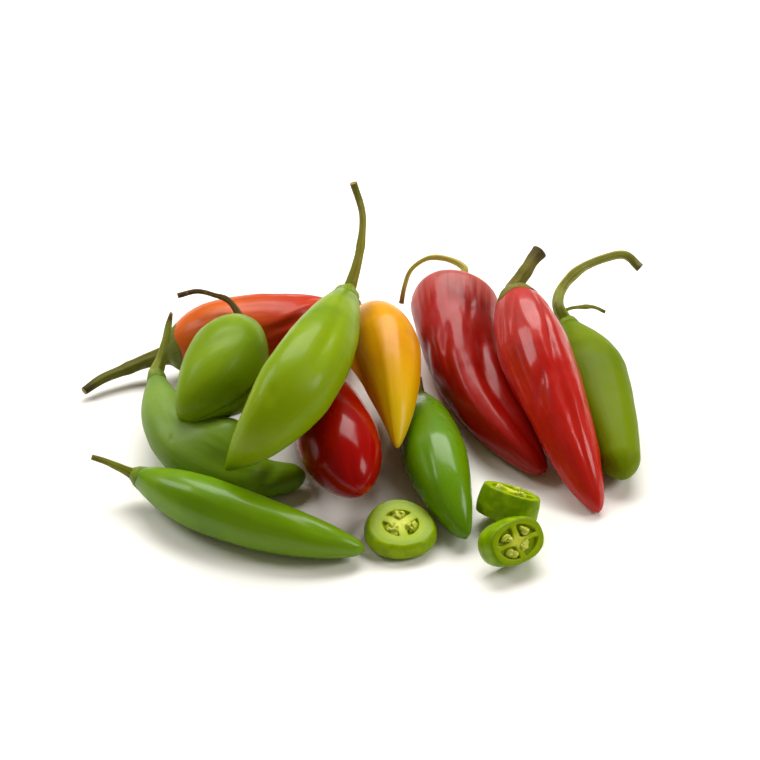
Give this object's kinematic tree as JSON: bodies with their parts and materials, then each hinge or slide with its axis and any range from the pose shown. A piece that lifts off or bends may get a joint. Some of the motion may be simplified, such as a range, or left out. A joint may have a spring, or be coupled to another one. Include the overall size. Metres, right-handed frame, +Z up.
{
  "type": "heap of chilli peppers",
  "caption": "Loose heap of freshly picked chilli peppers in red, orange, yellow and green, with stalks on, and cut slices in front.",
  "frame": {"origin": "on the surface the heap lies on, under the middle of its footprint", "axes": "+X along the row of fruits, +Y from the slices in front to the crowns behind, +Z up"},
  "size_m": [0.2042, 0.1584, 0.0769],
  "materials": {
    "orange_skin": "waxy skin, orange at the crown and redder towards the tip",
    "small_skin": "waxy skin, dull green with a brown cast where it begins to ripen",
    "lime_skin": "smooth glossy skin, bright lime green with paler ridges",
    "yellow_skin": "smooth glossy skin, golden yellow",
    "scarlet_skin": "glossy skin, deep red",
    "hooked_skin": "satin skin, mid green with a pale bloom",
    "front_skin": "glossy skin, mid green",
    "middle_skin": "glossy skin, bright green",
    "crimson_skin": "slightly wrinkled skin, dark red with a soft pale bloom at the crown",
    "ruby_skin": "wrinkled skin, red with a blotchy sheen",
    "spring_skin": "satin skin, pale yellow-green",
    "fresh_stalk": "matt ribbed stalk and calyx, fresh green",
    "olive_stalk": "matt ribbed stalk and calyx, olive green drying to brown",
    "slice_flesh": "moist pale green flesh inside a thin green skin, with ribs and a few seeds"
  },
  "bodies": {
    "root": {"orange_fruit": "orange_skin", "orange_stalk": "olive_stalk", "small_fruit": "small_skin", "small_stalk": "olive_stalk", "lime_fruit": "lime_skin", "lime_stalk": "olive_stalk", "yellow_fruit": "yellow_skin", "yellow_stalk": "olive_stalk", "scarlet_fruit": "scarlet_skin", "scarlet_stalk": "olive_stalk", "hooked_fruit": "hooked_skin", "hooked_stalk": "fresh_stalk", "front_fruit": "front_skin", "front_stalk": "fresh_stalk", "middle_fruit": "middle_skin", "middle_stalk": "fresh_stalk", "crimson_fruit": "crimson_skin", "crimson_stalk": "olive_stalk", "ruby_fruit": "ruby_skin", "ruby_stalk": "olive_stalk", "spring_fruit": "spring_skin", "spring_stalk": "olive_stalk", "flat_slice": "slice_flesh", "front_slice": "slice_flesh", "back_slice": "slice_flesh"}
  },
  "joints": []
}
